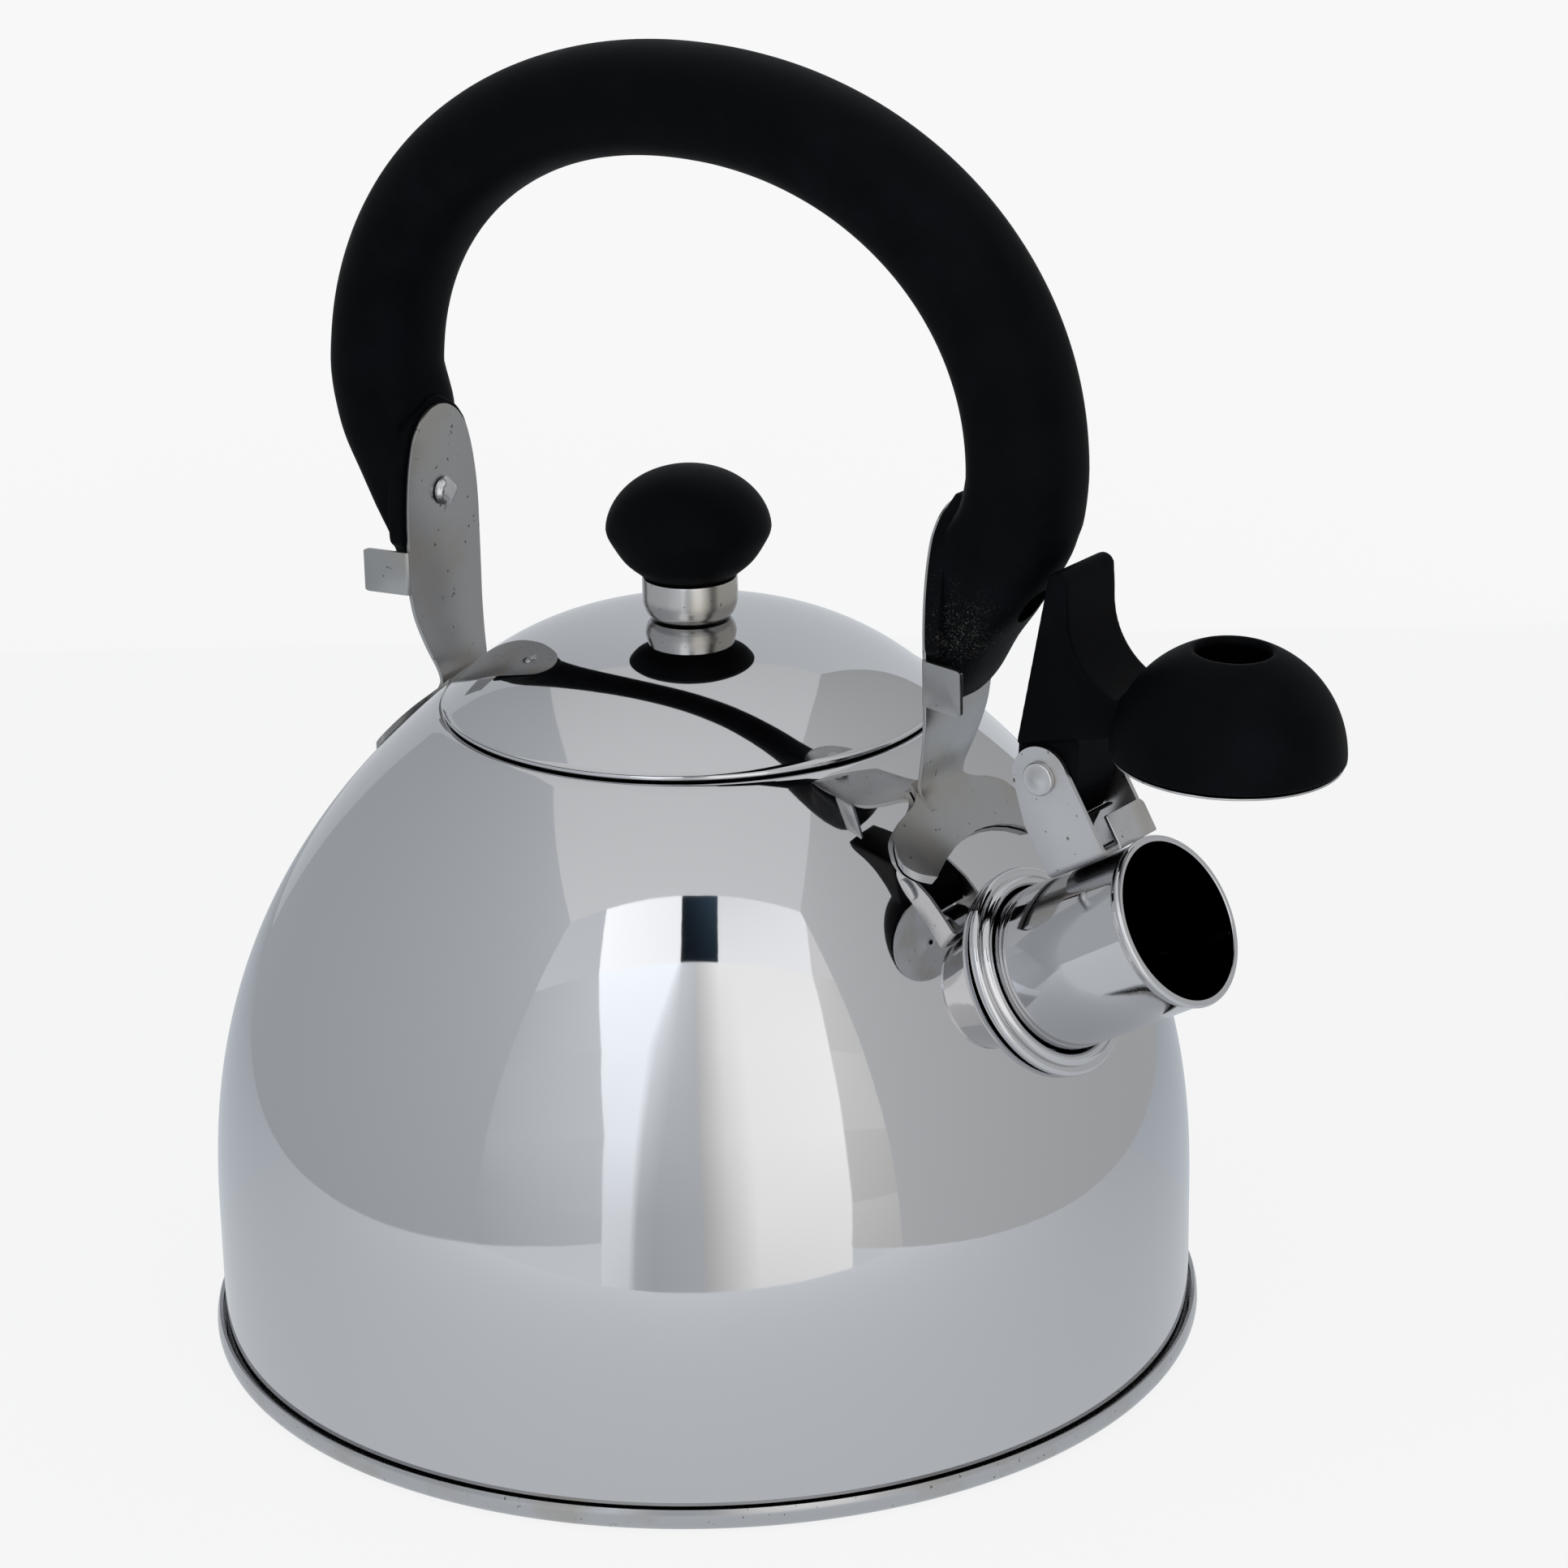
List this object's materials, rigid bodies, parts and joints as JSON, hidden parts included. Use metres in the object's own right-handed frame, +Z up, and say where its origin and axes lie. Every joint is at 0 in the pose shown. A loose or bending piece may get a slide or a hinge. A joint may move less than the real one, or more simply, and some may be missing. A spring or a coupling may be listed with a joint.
{
  "type": "stovetop whistling kettle",
  "caption": "Domed stovetop kettle with folding bail handle, lift-out lid and a lever-operated whistle on a short straight spout.",
  "frame": {"origin": "centre of the flat underside, on the kettle's vertical axis", "axes": "+Z up along the body's axis, +X from the axis towards the spout, in the plane of the upright handle"},
  "size_m": [0.2328, 0.1916, 0.2475],
  "materials": {
    "mirror_steel": "mirror-polished drawn stainless steel",
    "satin_steel": "satin, tumbled stamping",
    "spring_steel": "rolled spring strip",
    "black_moulding": "matt moulded phenolic"
  },
  "bodies": {
    "kettle_body": {"body_shell": "mirror_steel", "base_pan": "satin_steel", "spout_tube": "mirror_steel", "spout_collar": "mirror_steel", "lever_bracket": "satin_steel", "detent_spring": "spring_steel", "lever_rivet": "satin_steel", "front_handle_bracket": "satin_steel", "rear_handle_bracket": "satin_steel", "front_handle_rivet": "satin_steel", "rear_handle_rivet": "satin_steel", "front_rivet_washer": "satin_steel", "rear_rivet_washer": "satin_steel"},
    "handle": {"handle_grip": "black_moulding"},
    "whistle": {"whistle_lever": "black_moulding", "whistle_lower_disc": "satin_steel", "whistle_upper_disc": "satin_steel"},
    "lid": {"lid_shell": "mirror_steel", "lid_skirt_ring": "satin_steel", "lid_knob": "black_moulding", "knob_ferrule": "satin_steel", "knob_screw": "satin_steel", "knob_screw_washer": "satin_steel"}
  },
  "joints": [
    {"name": "handle_fold", "type": "hinge", "parent": "kettle_body", "child": "handle", "pos_m": [0, 0, 0.155], "axis": [1, 0, 0], "range_deg": [0, 88]},
    {"name": "whistle_lever_turn", "type": "hinge", "parent": "kettle_body", "child": "whistle", "pos_m": [0.08298, 0, 0.12658], "axis": [0, 1, 0], "range_deg": [0, 57.5]},
    {"name": "lid_lift", "type": "slide", "parent": "kettle_body", "child": "lid", "axis": [0, 0, 1], "range_m": [0, 0.05]}
  ]
}
